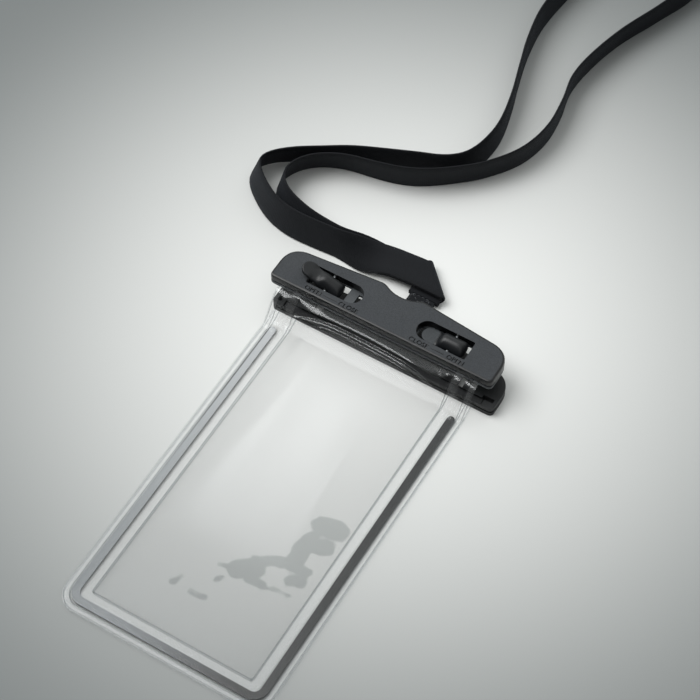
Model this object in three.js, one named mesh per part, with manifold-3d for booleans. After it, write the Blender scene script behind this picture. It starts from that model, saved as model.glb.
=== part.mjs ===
// Waterproof phone pouch: a clear film bag whose mouth is held by a two-part clamp with two flip locks,
// drawn with the mouth open, plus a flat ribbon lanyard lying loose behind it.
// Millimetres, +Z up, the pouch lies on its back on z = 0 and its mouth faces +Y.
// The drawing is made in the front clamp's own frame: x = 0 is the middle of the clamp,
// y = 0 is the clamp's edge on the bag side. The last lines move it to the middle of its own footprint.

import * as THREE from "three";
import Module from "manifold-3d";
import { mergeVertices } from "three/addons/utils/BufferGeometryUtils.js";

// Driving dimensions
const GAP = 0.3; // clearance between pieces that touch

const CLAMP_LENGTH = 112;
const CLAMP_DEPTH = 22.4; // at the shoulders beside the thumb notch
const CLAMP_END_DEPTH = 19.1; // where the ends start to curve
const CLAMP_END_RUN = 9; // length of the curve at each end
const CLAMP_END_STRAIGHT = 9; // straight height of each end face
const CLAMP_CORNER = 2.6; // small corner on the bag side
const NOTCH_HALF = 9.8;
const NOTCH_DEPTH = 2.8;
const EDGE_CHAMFER = 1.1;

const REAR_COVER = 2.2; // thickness of the rear cover, which lies on the table
const REAR_FRAME = 2.0; // thickness of the rear inner frame over the film
const FILM = 0.4; // thickness of each film
const MOUTH = 7.2; // how far the open clamp halves stand apart
const FRONT_FRAME = 1.4; // thickness of the front inner frame
const FRONT_COVER = 4.0; // thickness of the front cover
const SLIP_X = 3.5; // sideways slip of the rear half while the clamp is open
const SLIP_Y = -4.3; // and its slip towards the bag

const GASKET_WIDTH = 2.6;
const GASKET_INSET = 0.8; // from the clamp's bag-side edge
const GASKET_HEIGHT = 1.1; // how far the front seal stands down
const GASKET_END = 0.5; // how far the seals stop short of the film's side edges
const GROOVE_DEPTH = 1.5; // groove in the rear frame that takes the rear seal
const REAR_SEAL = 0.8;

const FILM_GRIP = 3.4; // width of film held between cover and frame

const PIVOT_X = CLAMP_LENGTH / 2 - 25; // lever pin, from the middle
const SLOT_INNER = PIVOT_X - 17; // round end of each lever slot, from the middle
const SLOT_OUTER = PIVOT_X + 9; // square end
const SLOT_WIDTH = 10.2;
const SLOT_CENTRE = 9.8; // from the clamp's bag-side edge
const SLOT_END_WALL = 0.8; // corner radius of the square end

const PIVOT_DROP = 2.0; // below the front cover's top face
const PIN_RADIUS = 0.8;
const PIN_LENGTH = 14.4;
const HUB_RADIUS = 4.1; // half the height of the lever's barrel hub
const HUB_WIDTH = 8.6;
const HUB_BACK = 7.2; // hub length behind the pin
const HUB_FRONT = 6.0; // hub length before the pin
const TAB_REACH = 14.5; // pin to the tip of the thumb tab
const TAB_WIDTH = 7.8;
const TAB_THICKNESS = 1.8;
const TAB_SET = 1.0; // tab's middle below the pin when locked
const LEVER_OPEN_DEG = 160; // turn from locked to open

const BAR_INNER = PIVOT_X - 13.4; // cross bar of the frame under the locked tab
const BAR_OUTER = PIVOT_X - 8.8;
const WINDOW_OUTER = PIVOT_X + 8;

const CATCH_INNER = PIVOT_X - 7.6; // rear window that the hub drops into
const CATCH_OUTER = PIVOT_X + 8;
const CATCH_WIDTH = 11.6;
const THROUGH_INNER = PIVOT_X + 4.4; // part of that window that goes right through the rear cover

const EYE_LONG = 6.5; // cord eyes through the rear half's ends
const EYE_WIDE = 2.0;
const EYE_EDGE = 1.6; // material left at the end of the clamp
const UPRIGHT_EYE_Y = 2.2; // left eye, from the bag-side edge
const ACROSS_EYE_Y = 3.4; // right eye

const LUG_WIDTH = 19;
const LUG_REACH = 7.4; // behind the notch
const LUG_SLOT_LENGTH = 13;
const LUG_SLOT_WIDTH = 2.9;
const LUG_BAR = 2.2;
const LUG_THICKNESS = 2.2;

const BAG_WIDTH = 101;
const BAG_LENGTH = 175.3; // from the front clamp's edge to the bottom of the bag
const BAG_CORNER = 10;
const BORDER_CENTRE = BAG_WIDTH / 2 - 5.1; // half the spacing of the grey border strip
const BORDER_WIDTH = 3.6;
const BORDER_THICKNESS = 0.6;
const BORDER_CORNER = 5;
const BORDER_BOTTOM = 6.0; // strip's centre line above the bag's bottom edge
const BORDER_TOP = 13.4; // strip's ends below the front clamp's edge
const CHAMBER_HALF = BORDER_CENTRE - 17.4; // half width that lifts fully with the front clamp
const LIFT_START = 125; // where the front film starts to lift, below the clamp
const LIFT_END = 2; // and where it is at full height
const SIDE_LIFT_START = 16; // the same for the side edges

const RIBBON_WIDTH = 15;
const RIBBON_THICKNESS = 1.0;
const SEWN_WIDTH = 12;
const SEWN_TAIL = 9;

// Levels, from the table up
const rearFilmZ = 0.2;
const borderZ = rearFilmZ + FILM + GAP;
const frontFilmZ = borderZ + BORDER_THICKNESS + GAP;
const rearFilmGripZ = REAR_COVER + GAP;
const rearTop = rearFilmGripZ + FILM + GAP + REAR_FRAME;
const frontFrameZ = rearTop + MOUTH;
const frontFrameTop = frontFrameZ + FRONT_FRAME;
const frontFilmGripZ = frontFrameTop + GAP;
const frontCoverZ = frontFrameTop + GAP;
const frontTop = frontCoverZ + FRONT_COVER;
const pivotZ = frontTop - PIVOT_DROP;
const bagBottom = -BAG_LENGTH;

// Solids by boolean operations
const wasm = await Module();
wasm.setup();

function toSolid(geometry) {
  const bare = geometry.clone();
  bare.deleteAttribute("normal");
  bare.deleteAttribute("uv");
  const merged = mergeVertices(bare, 1e-4);
  return new wasm.Manifold(
    new wasm.Mesh({
      numProp: 3,
      vertProperties: new Float32Array(merged.attributes.position.array),
      triVerts: new Uint32Array(merged.index.array),
    }),
  );
}

function toGeometry(solid) {
  const mesh = solid.getMesh();
  const geometry = new THREE.BufferGeometry();
  geometry.setAttribute("position", new THREE.BufferAttribute(mesh.vertProperties, 3));
  geometry.setIndex(new THREE.BufferAttribute(mesh.triVerts, 1));
  geometry.computeVertexNormals();
  return geometry;
}

// A flat shape drawn in X and Y, raised from z = low to z = high.
function prism(shape, low, high, curveSegments = 12) {
  const geometry = new THREE.ExtrudeGeometry(shape, { depth: high - low, bevelEnabled: false, curveSegments });
  geometry.translate(0, 0, low);
  return toSolid(geometry);
}

function box(x0, x1, y0, y1, z0, z1) {
  const geometry = new THREE.BoxGeometry(x1 - x0, y1 - y0, z1 - z0);
  geometry.translate((x0 + x1) / 2, (y0 + y1) / 2, (z0 + z1) / 2);
  return toSolid(geometry);
}

function rod(radius, x, y0, y1, z, sides = 20) {
  const geometry = new THREE.CylinderGeometry(radius, radius, y1 - y0, sides);
  geometry.translate(x, (y0 + y1) / 2, z);
  return toSolid(geometry);
}

// Outline of either clamp half: straight on the bag side, a shallow roof with a thumb notch on the mouth side
// and large curves at both ends
function clampOutline() {
  const half = CLAMP_LENGTH / 2;
  const low = 0;
  const shoulder = CLAMP_DEPTH;
  const endTop = CLAMP_END_DEPTH;
  const curveStart = half - CLAMP_END_RUN;
  const corner = CLAMP_CORNER;
  const shape = new THREE.Shape();
  shape.moveTo(-half + corner, low);
  shape.lineTo(half - corner, low);
  shape.quadraticCurveTo(half, low, half, low + corner);
  shape.lineTo(half, CLAMP_END_STRAIGHT);
  shape.bezierCurveTo(half, endTop - 4.2, half - 3.4, endTop - 0.6, curveStart, endTop);
  shape.lineTo(NOTCH_HALF + 1.2, shoulder);
  shape.quadraticCurveTo(NOTCH_HALF - 0.6, shoulder, NOTCH_HALF - 2.4, shoulder - 1.0);
  shape.quadraticCurveTo(4, shoulder - NOTCH_DEPTH, 0, shoulder - NOTCH_DEPTH);
  shape.quadraticCurveTo(-4, shoulder - NOTCH_DEPTH, 2.4 - NOTCH_HALF, shoulder - 1.0);
  shape.quadraticCurveTo(0.6 - NOTCH_HALF, shoulder, -NOTCH_HALF - 1.2, shoulder);
  shape.lineTo(-curveStart, endTop);
  shape.bezierCurveTo(3.4 - half, endTop - 0.6, -half, endTop - 4.2, -half, CLAMP_END_STRAIGHT);
  shape.lineTo(-half, low + corner);
  shape.quadraticCurveTo(-half, low, -half + corner, low);
  return shape;
}

// Lever slot: round towards the middle of the clamp, square towards its end.
function leverSlot(side, grow = 0) {
  const radius = SLOT_WIDTH / 2 + grow;
  const roundX = SLOT_INNER + SLOT_WIDTH / 2;
  const outer = SLOT_OUTER + grow;
  const corner = SLOT_END_WALL;
  const shape = new THREE.Shape();
  shape.moveTo(side * (outer - corner), SLOT_CENTRE - radius);
  shape.quadraticCurveTo(
    side * outer, SLOT_CENTRE - radius, side * outer, SLOT_CENTRE - radius + corner);
  shape.lineTo(side * outer, SLOT_CENTRE + radius - corner);
  shape.quadraticCurveTo(
    side * outer, SLOT_CENTRE + radius, side * (outer - corner), SLOT_CENTRE + radius);
  shape.lineTo(side * roundX, SLOT_CENTRE + radius);
  shape.absarc(side * roundX, SLOT_CENTRE, radius, Math.PI / 2, -Math.PI / 2, side > 0 ? false : true);
  return shape;
}

function rectangle(x0, x1, y0, y1) {
  const shape = new THREE.Shape();
  shape.moveTo(x0, y0);
  shape.lineTo(x1, y0);
  shape.lineTo(x1, y1);
  shape.lineTo(x0, y1);
  return shape;
}

// Front cover: chamfered plate with both lever slots, bored for the pins, relieved over the film's edge
function frontCover() {
  const skin = new THREE.ExtrudeGeometry(clampOutline(), {
    depth: FRONT_COVER,
    bevelThickness: EDGE_CHAMFER,
    bevelSize: EDGE_CHAMFER,
    bevelOffset: -EDGE_CHAMFER,
    bevelSegments: 2,
    curveSegments: 10,
  });
  skin.translate(0, 0, frontTop - FRONT_COVER - EDGE_CHAMFER);
  const reach = CLAMP_LENGTH;
  let cover = toSolid(skin).subtract(box(-reach, reach, -reach, reach, 0, frontCoverZ));
  const relief = box(-reach, reach, -1, FILM_GRIP + GAP, frontCoverZ - 1, frontFilmGripZ + FILM + GAP);
  cover = cover.subtract(relief);
  for (const side of [-1, 1]) {
    cover = cover.subtract(prism(leverSlot(side), 0, 2 * frontTop, 14));
    const bore = rod(PIN_RADIUS + GAP, side * PIVOT_X, SLOT_CENTRE - PIN_LENGTH / 2 - GAP,
      SLOT_CENTRE + PIN_LENGTH / 2 + GAP, pivotZ);
    cover = cover.subtract(bore);
  }
  return cover;
}

// Front inner frame: the lighter rim under the cover, with a window for each hub and a cross bar under each tab
function frontFrame() {
  let frame = prism(clampOutline(), frontFrameZ, frontFrameTop, 10);
  const low = SLOT_CENTRE - SLOT_WIDTH / 2;
  const high = SLOT_CENTRE + SLOT_WIDTH / 2;
  for (const side of [-1, 1]) {
    const hub = [side * BAR_OUTER, side * WINDOW_OUTER].sort((a, b) => a - b);
    const tip = [side * (SLOT_INNER + 0.6), side * BAR_INNER].sort((a, b) => a - b);
    frame = frame.subtract(box(hub[0], hub[1], low, high, 0, frontTop));
    frame = frame.subtract(box(tip[0], tip[1], low + 1.6, high - 1.6, 0, frontTop));
  }
  return frame;
}

// One flip lever, locked: barrel hub on the pin and a flat thumb tab with a round end, pointing to +X
function leverSolid() {
  const sideView = new THREE.Shape();
  const round = HUB_RADIUS - 0.2;
  sideView.moveTo(-HUB_BACK + round, -HUB_RADIUS);
  sideView.lineTo(HUB_FRONT - round, -HUB_RADIUS);
  sideView.absellipse(HUB_FRONT - round, 0, round, HUB_RADIUS, -Math.PI / 2, Math.PI / 2, false);
  sideView.lineTo(-HUB_BACK + round, HUB_RADIUS);
  sideView.absellipse(-HUB_BACK + round, 0, round, HUB_RADIUS, Math.PI / 2, 1.5 * Math.PI, false);
  const barrel = new THREE.ExtrudeGeometry(sideView, {
    depth: HUB_WIDTH, bevelEnabled: false, curveSegments: 10,
  });
  barrel.translate(0, 0, -HUB_WIDTH / 2);
  barrel.rotateX(Math.PI / 2);
  const endView = new THREE.Shape();
  endView.absellipse(0, 0, HUB_WIDTH / 2, HUB_RADIUS, 0, 2 * Math.PI, false);
  const dome = new THREE.ExtrudeGeometry(endView, {
    depth: HUB_BACK + HUB_FRONT, bevelEnabled: false, curveSegments: 14,
  });
  dome.rotateX(Math.PI / 2);
  dome.rotateZ(Math.PI / 2);
  dome.translate(-HUB_BACK, 0, 0);
  const hub = toSolid(barrel).intersect(toSolid(dome));

  const tipX = TAB_REACH - TAB_WIDTH / 2;
  const plan = new THREE.Shape();
  plan.moveTo(0, -TAB_WIDTH / 2);
  plan.lineTo(tipX, -TAB_WIDTH / 2);
  plan.absarc(tipX, 0, TAB_WIDTH / 2, -Math.PI / 2, Math.PI / 2, false);
  plan.lineTo(0, TAB_WIDTH / 2);
  const bevel = 0.3;
  const tabGeometry = new THREE.ExtrudeGeometry(plan, {
    depth: TAB_THICKNESS - 2 * bevel,
    bevelThickness: bevel,
    bevelSize: bevel,
    bevelOffset: -bevel,
    bevelSegments: 1,
    curveSegments: 12,
  });
  tabGeometry.translate(0, 0, bevel - TAB_SET - TAB_THICKNESS / 2);
  const bore = rod(PIN_RADIUS + GAP, 0, -HUB_WIDTH, HUB_WIDTH, 0);
  return hub.add(toSolid(tabGeometry)).subtract(bore);
}

// A rear piece is drawn in the front clamp's frame and then slipped with the rear half.
function slipped(solid) {
  return solid.translate([SLIP_X, SLIP_Y, 0]);
}

function cordEyes() {
  const end = CLAMP_LENGTH / 2 - EYE_EDGE;
  const upright = box(-end, -end + EYE_WIDE, UPRIGHT_EYE_Y, UPRIGHT_EYE_Y + EYE_LONG, -1, rearTop + 1);
  const across = box(end - EYE_LONG + 1, end, ACROSS_EYE_Y, ACROSS_EYE_Y + EYE_WIDE, -1, rearTop + 1);
  return upright.add(across);
}

function catchWindow(side, inner, low, high) {
  const span = [side * inner, side * CATCH_OUTER].sort((a, b) => a - b);
  return box(span[0], span[1], SLOT_CENTRE - CATCH_WIDTH / 2, SLOT_CENTRE + CATCH_WIDTH / 2, low, high);
}

function rearCover() {
  let cover = prism(clampOutline(), 0, REAR_COVER, 10).subtract(cordEyes());
  for (const side of [-1, 1]) cover = cover.subtract(catchWindow(side, THROUGH_INNER, -1, rearTop));
  return cover;
}

// Rear inner frame: seal groove, hub windows, and the lanyard lug behind the notch
function rearFrame() {
  const plate = prism(clampOutline(), rearFilmGripZ, rearTop, 10);
  const lugFoot = CLAMP_DEPTH - NOTCH_DEPTH - 1;
  const lugEnd = CLAMP_DEPTH - NOTCH_DEPTH + LUG_REACH;
  const lug = box(-LUG_WIDTH / 2, LUG_WIDTH / 2, lugFoot, lugEnd, rearFilmGripZ, rearFilmGripZ + LUG_THICKNESS);
  const slotHigh = lugEnd - LUG_BAR;
  const slot = box(-LUG_SLOT_LENGTH / 2, LUG_SLOT_LENGTH / 2, slotHigh - LUG_SLOT_WIDTH, slotHigh, 0, rearTop);
  const reach = CLAMP_LENGTH;
  const relief = box(-reach, reach, -1, FILM_GRIP + GAP, 0, rearFilmGripZ + FILM + GAP);
  const sealHalf = BAG_WIDTH / 2 - GASKET_END + GAP;
  const groove = box(-sealHalf, sealHalf, GASKET_INSET - GAP, GASKET_INSET + GASKET_WIDTH + GAP,
    rearTop - GROOVE_DEPTH, rearTop + 1);
  let frame = plate.add(lug).subtract(slot).subtract(relief).subtract(groove).subtract(cordEyes());
  for (const side of [-1, 1]) frame = frame.subtract(catchWindow(side, CATCH_INNER, 0, rearTop + 1));
  return frame;
}

function gasket(low, high) {
  const half = BAG_WIDTH / 2 - GASKET_END;
  const bar = rectangle(-half, half, GASKET_INSET, GASKET_INSET + GASKET_WIDTH);
  return prism(bar, low, high);
}

// Outline of the bag and its film: square at the clamp, round at the bottom
function bagOutline(top) {
  const half = BAG_WIDTH / 2;
  const shape = new THREE.Shape();
  shape.moveTo(-half, top);
  shape.lineTo(-half, bagBottom + BAG_CORNER);
  shape.absarc(-half + BAG_CORNER, bagBottom + BAG_CORNER, BAG_CORNER, Math.PI, 1.5 * Math.PI, false);
  shape.lineTo(half - BAG_CORNER, bagBottom);
  shape.absarc(half - BAG_CORNER, bagBottom + BAG_CORNER, BAG_CORNER, 1.5 * Math.PI, 2 * Math.PI, false);
  shape.lineTo(half, top);
  return shape;
}

function smooth(value, from, to) {
  const t = Math.min(1, Math.max(0, (value - from) / (to - from)));
  return t * t * (3 - 2 * t);
}

// A film is a thin sheet bent to a height for each place on it, then trimmed to the bag's outline.
function filmSheet(top, columns, rows, heightAt) {
  const length = top - bagBottom;
  const sheet = new THREE.BoxGeometry(BAG_WIDTH, length, FILM, columns, rows, 1);
  sheet.translate(0, bagBottom + length / 2, FILM / 2);
  const place = sheet.attributes.position;
  for (let i = 0; i < place.count; i++) {
    place.setZ(i, place.getZ(i) + heightAt(place.getX(i), place.getY(i)));
  }
  return toSolid(sheet).intersect(prism(bagOutline(top + 1), -1, 2 * frontTop, 6));
}

function rearFilmHeight(x, y) {
  const rise = smooth(y, -BORDER_TOP + 1, SLIP_Y - 1);
  return rearFilmZ + rise * (rearFilmGripZ - rearFilmZ);
}

function frontFilmHeight(x, y) {
  const middle = smooth(y, -LIFT_START, -LIFT_END);
  const sides = smooth(y, -SIDE_LIFT_START, -LIFT_END);
  const across = smooth(Math.abs(x), CHAMBER_HALF, BORDER_CENTRE - BORDER_WIDTH);
  const lift = middle + (sides - middle) * across;
  return frontFilmZ + lift * (frontFilmGripZ - frontFilmZ);
}

// Grey strip welded between the films along both sides and the bottom
function borderStrip() {
  const outer = BORDER_CENTRE + BORDER_WIDTH / 2;
  const inner = BORDER_CENTRE - BORDER_WIDTH / 2;
  const middle = bagBottom + BORDER_BOTTOM;
  const low = middle - BORDER_WIDTH / 2;
  const high = middle + BORDER_WIDTH / 2;
  const outerCorner = BORDER_CORNER + BORDER_WIDTH / 2;
  const innerCorner = BORDER_CORNER - BORDER_WIDTH / 2;
  const cap = BORDER_WIDTH / 2;
  const top = -BORDER_TOP - cap;
  const shape = new THREE.Shape();
  shape.moveTo(-outer, top);
  shape.lineTo(-outer, low + outerCorner);
  shape.absarc(-outer + outerCorner, low + outerCorner, outerCorner, Math.PI, 1.5 * Math.PI, false);
  shape.lineTo(outer - outerCorner, low);
  shape.absarc(outer - outerCorner, low + outerCorner, outerCorner, 1.5 * Math.PI, 2 * Math.PI, false);
  shape.lineTo(outer, top);
  shape.absarc(BORDER_CENTRE, top, cap, 0, Math.PI, false);
  shape.lineTo(inner, high + innerCorner);
  shape.absarc(inner - innerCorner, high + innerCorner, innerCorner, 0, -Math.PI / 2, true);
  shape.lineTo(-inner + innerCorner, high);
  shape.absarc(-inner + innerCorner, high + innerCorner, innerCorner, -Math.PI / 2, -Math.PI, true);
  shape.lineTo(-inner, top);
  shape.absarc(-BORDER_CENTRE, top, cap, 0, Math.PI, false);
  return prism(shape, borderZ, borderZ + BORDER_THICKNESS, 6);
}

// Sewn end of the lanyard: the ribbon folded round the lug's bar and stitched into a short double tail
function sewnEnd() {
  const lugEnd = CLAMP_DEPTH - NOTCH_DEPTH + LUG_REACH;
  const barLow = rearFilmGripZ;
  const wrap = GAP + RIBBON_THICKNESS;
  const y0 = lugEnd - LUG_BAR - wrap;
  const y1 = lugEnd + wrap;
  const z0 = barLow - wrap;
  const z1 = barLow + LUG_THICKNESS + wrap;
  const half = SEWN_WIDTH / 2;
  const ring = box(-half, half, y0, y1, z0, z1)
    .subtract(box(-LUG_WIDTH, LUG_WIDTH, lugEnd - LUG_BAR - GAP, lugEnd + GAP, barLow - GAP,
      barLow + LUG_THICKNESS + GAP));
  const tail = box(-half, half, y1 - 0.5, y1 + SEWN_TAIL, z0, z0 + 2 * RIBBON_THICKNESS + GAP);
  return slipped(ring.add(tail));
}

// Lanyard route, chosen by hand in X and Y: the two flat strands, then the loop standing on its edge
const sewnTailY = CLAMP_DEPTH - NOTCH_DEPTH + LUG_REACH + GAP + RIBBON_THICKNESS + SEWN_TAIL + SLIP_Y;
const STRAND_ROUTE = [
  [SLIP_X, sewnTailY + GAP], [SLIP_X, 34.4], [0.9, 40.4], [-5.5, 43], [-14, 42.5], [-20, 41.6],
];
const LOOP_ROUTE = [
  [-20.9, 40.6], [-30, 38.7], [-39, 37.3], [-47, 36.5], [-55, 36], [-63, 35.7], [-71, 36.4], [-80, 39.2],
  [-89.5, 45], [-96.3, 51.3], [-98.3, 57], [-95.2, 63.2], [-87.5, 69.7], [-76, 76.4], [-64, 83], [-52, 88.2],
  [-36, 94.8], [-24, 99.8], [-16.5, 106.5], [-12.8, 116.5], [-12, 130.5], [-15.5, 148], [-21, 166],
  [-26, 184], [-29, 205], [-27, 232], [-21, 262], [-10, 288], [6, 299], [22, 288], [26, 262], [18, 236],
  [9, 212], [4, 190], [3, 173.5], [6.2, 157.4], [7.4, 140.4], [3.4, 123.4], [-6.6, 108], [-15.8, 99.1],
  [-27.4, 90.2], [-37.2, 85.2], [-48.3, 82], [-64, 78.6], [-74, 73.9], [-80.3, 68.3], [-83.8, 62],
  [-84.4, 56], [-81.5, 50], [-75.5, 45.4], [-68, 42.4], [-60, 40.4], [-52, 39.4], [-45, 39], [-39, 39.2],
  [-30, 40.6], [-20.9, 42.5],
];

function ribbon(route, z, flat, steps) {
  const points = route.map(([x, y]) => new THREE.Vector3(x, y, z));
  const curve = new THREE.CatmullRomCurve3(points, false, "centripetal");
  const across = RIBBON_WIDTH / 2;
  const thick = RIBBON_THICKNESS / 2;
  const round = thick * 0.6;
  const [a, b] = flat ? [thick, across] : [across, thick];
  const section = new THREE.Shape();
  section.moveTo(a - round, -b);
  section.lineTo(a, round - b);
  section.lineTo(a, b - round);
  section.lineTo(a - round, b);
  section.lineTo(round - a, b);
  section.lineTo(-a, b - round);
  section.lineTo(-a, round - b);
  section.lineTo(round - a, -b);
  return toSolid(new THREE.ExtrudeGeometry(section, { steps, extrudePath: curve, bevelEnabled: false }));
}

// Materials
function paint(color, roughness, metalness = 0, opacity = 1) {
  return new THREE.MeshStandardMaterial({
    color, roughness, metalness, opacity, transparent: opacity < 1,
  });
}
const coverGrey = paint(0x43474a, 0.55);
const frameGrey = paint(0x6d7173, 0.6);
const sealBlack = paint(0x0d0f11, 0.75);
const leverBlack = paint(0x17191c, 0.35);
const pinSteel = paint(0xb8bcc0, 0.3, 1);
const film = paint(0xe6eaec, 0.12, 0, 0.3);
const borderGrey = paint(0x6c7276, 0.35, 0, 0.8);
const ribbonBlack = paint(0x14171c, 0.8);

const part = new THREE.Group();
const drawing = new THREE.Group();
part.add(drawing);

function addPiece(name, solid, material) {
  const mesh = new THREE.Mesh(toGeometry(solid), material);
  mesh.name = name;
  drawing.add(mesh);
  return mesh;
}

// Front clamp
addPiece("front_cover", frontCover(), coverGrey);
addPiece("front_frame", frontFrame(), frameGrey);
addPiece("front_gasket", gasket(frontFrameZ - GAP - GASKET_HEIGHT, frontFrameZ - GAP), sealBlack);

// Locks: the left one stands open, the right one is locked
const lever = leverSolid();
const leftTurn = new THREE.Matrix4().makeRotationY(THREE.MathUtils.degToRad(-LEVER_OPEN_DEG));
for (const side of [-1, 1]) {
  const name = side < 0 ? "left" : "right";
  const shape = toGeometry(lever);
  if (side > 0) shape.rotateZ(Math.PI);
  else shape.applyMatrix4(leftTurn);
  const mesh = new THREE.Mesh(shape, leverBlack);
  mesh.name = `lock_lever_${name}`;
  mesh.position.set(side * PIVOT_X, SLOT_CENTRE, pivotZ);
  drawing.add(mesh);
  const pin = rod(PIN_RADIUS, side * PIVOT_X, SLOT_CENTRE - PIN_LENGTH / 2, SLOT_CENTRE + PIN_LENGTH / 2, pivotZ);
  addPiece(`lever_pin_${name}`, pin, pinSteel);
}

// Rear clamp
addPiece("rear_cover", slipped(rearCover()), coverGrey);
addPiece("rear_frame", slipped(rearFrame()), coverGrey);
const sealLow = rearTop - GROOVE_DEPTH + GAP;
addPiece("rear_gasket", slipped(gasket(sealLow, sealLow + REAR_SEAL)), sealBlack);

// Bag
addPiece("rear_film", filmSheet(SLIP_Y + FILM_GRIP, 1, 60, rearFilmHeight), film);
addPiece("front_film", filmSheet(FILM_GRIP, 24, 44, frontFilmHeight), film);
addPiece("border_strip", borderStrip(), borderGrey);

// Lanyard
const lowStrandZ = rearFilmGripZ - GAP - RIBBON_THICKNESS / 2;
addPiece("lanyard_sewn_end", sewnEnd(), ribbonBlack);
addPiece("lanyard_strand_lower", ribbon(STRAND_ROUTE, lowStrandZ, true, 10), ribbonBlack);
addPiece("lanyard_strand_upper",
  ribbon(STRAND_ROUTE, lowStrandZ + RIBBON_THICKNESS + GAP, true, 10), ribbonBlack);
addPiece("lanyard_loop", ribbon(LOOP_ROUTE, RIBBON_WIDTH / 2 + GAP, false, 130), ribbonBlack);

// Origin: the middle of the pouch's footprint on the table
const lugEndY = CLAMP_DEPTH - NOTCH_DEPTH + LUG_REACH + SLIP_Y;
drawing.position.set(-SLIP_X / 2, -(bagBottom + Math.max(CLAMP_DEPTH, lugEndY)) / 2, 0);

export default part;
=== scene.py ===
# Waterproof phone pouch: a clear film bag held in an open two-part clamp with flip locks, and its
# flat woven lanyard, on a pale table. Metres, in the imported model's frame.
import math

import bmesh
import bpy
from mathutils import Matrix, Vector, noise


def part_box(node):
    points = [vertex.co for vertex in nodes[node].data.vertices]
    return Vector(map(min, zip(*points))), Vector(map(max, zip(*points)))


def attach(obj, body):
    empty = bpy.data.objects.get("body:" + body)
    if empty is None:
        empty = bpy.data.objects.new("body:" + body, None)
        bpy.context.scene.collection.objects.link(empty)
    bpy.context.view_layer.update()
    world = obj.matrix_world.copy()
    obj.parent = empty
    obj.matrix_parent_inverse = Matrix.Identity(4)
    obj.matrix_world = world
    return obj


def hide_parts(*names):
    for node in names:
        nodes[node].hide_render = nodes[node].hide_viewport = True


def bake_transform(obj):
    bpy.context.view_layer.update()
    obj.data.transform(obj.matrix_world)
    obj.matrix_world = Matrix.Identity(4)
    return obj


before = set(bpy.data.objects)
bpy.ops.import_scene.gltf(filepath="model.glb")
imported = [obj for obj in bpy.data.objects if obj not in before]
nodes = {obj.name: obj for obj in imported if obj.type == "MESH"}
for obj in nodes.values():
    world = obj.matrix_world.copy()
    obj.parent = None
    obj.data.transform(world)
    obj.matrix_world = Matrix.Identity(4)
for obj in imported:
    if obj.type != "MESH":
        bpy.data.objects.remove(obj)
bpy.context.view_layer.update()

# Camera: the photograph looks down on the clamp from the bag's right side, a little tilted. Its angle,
# distance and lens were fitted to the straight edges of the clamp and the bag.
CAMERA_AZIMUTH = math.radians(30.56)
CAMERA_ELEVATION = math.radians(56.35)
CAMERA_ROLL = math.radians(0.46)
CAMERA_DISTANCE = 0.99448
CAMERA_TARGET = Vector((-0.00214, 0.06617, 0.0))
SENSOR_WIDTH = 36
LENS_LENGTH = 116.89
LENS_SHIFT_X = -0.02197
LENS_SHIFT_Y = 0.02473
NEAR_CLIP = 0.05
towards_camera = Vector((
    math.sin(CAMERA_AZIMUTH) * math.cos(CAMERA_ELEVATION),
    -math.cos(CAMERA_AZIMUTH) * math.cos(CAMERA_ELEVATION),
    math.sin(CAMERA_ELEVATION),
))
level_right = Vector((0, 0, 1)).cross(towards_camera).normalized()
level_up = towards_camera.cross(level_right)
camera_right = math.cos(CAMERA_ROLL) * level_right + math.sin(CAMERA_ROLL) * level_up
camera_up = -math.sin(CAMERA_ROLL) * level_right + math.cos(CAMERA_ROLL) * level_up
camera_data = bpy.data.cameras.new("photo_camera")
camera = bpy.data.objects.new("photo_camera", camera_data)
bpy.context.scene.collection.objects.link(camera)
turn = Matrix((camera_right, camera_up, towards_camera)).transposed()
camera.matrix_world = Matrix.Translation(CAMERA_TARGET + CAMERA_DISTANCE * towards_camera) @ turn.to_4x4()
camera_data.sensor_width = SENSOR_WIDTH
camera_data.lens = LENS_LENGTH
camera_data.shift_x = LENS_SHIFT_X
camera_data.shift_y = LENS_SHIFT_Y
camera_data.clip_start = NEAR_CLIP
bpy.context.scene.camera = camera
bpy.context.scene.view_settings.view_transform = "Standard"

# Lanyard: a 15 mm flat woven polyester ribbon, one piece from the sewn end out and back. Both strands
# are folded over at the clamp, stand up on their edge in the bend and lie as a long open loop.
RIBBON_WIDTH = 0.015
RIBBON_THICKNESS = 0.001
# The route is in the drawing's millimetres, and the drawing's zero lies here in the model's frame.
DRAWING_X = -0.00175
DRAWING_Y = 0.0763
LOOP_ROUTE = [
    (-14, 42.5), (-20, 41.6), (-30, 38.7), (-39, 37.3), (-47, 36.5), (-55, 36), (-63, 35.7), (-71, 36.4),
    (-80, 39.2), (-89.5, 45), (-96.3, 51.3), (-98.3, 57), (-95.2, 63.2), (-87.5, 69.7), (-76, 76.4),
    (-64, 83), (-52, 88.2), (-36, 94.8), (-24, 99.8), (-16.5, 106.5), (-12.8, 116.5), (-12, 130.5),
    (-15.5, 148), (-21, 166), (-26, 184), (-29, 205), (-27, 232), (-21, 262), (-10, 288), (6, 299),
    (22, 288), (26, 262), (18, 236), (9, 212), (4, 190), (3, 173.5), (6.2, 157.4), (7.4, 140.4),
    (3.4, 123.4), (-6.6, 108), (-15.8, 99.1), (-27.4, 90.2), (-37.2, 85.2), (-48.3, 82), (-64, 78.6),
    (-74, 73.9), (-80.3, 68.3), (-83.8, 62), (-84.4, 56), (-81.5, 50), (-75.5, 45.4), (-68, 42.4),
    (-60, 40.4), (-52, 39.4), (-45, 39), (-39, 39.2), (-30, 40.6), (-20, 41.6), (-14, 42.5),
]
CURVE_STEPS = 24


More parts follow.
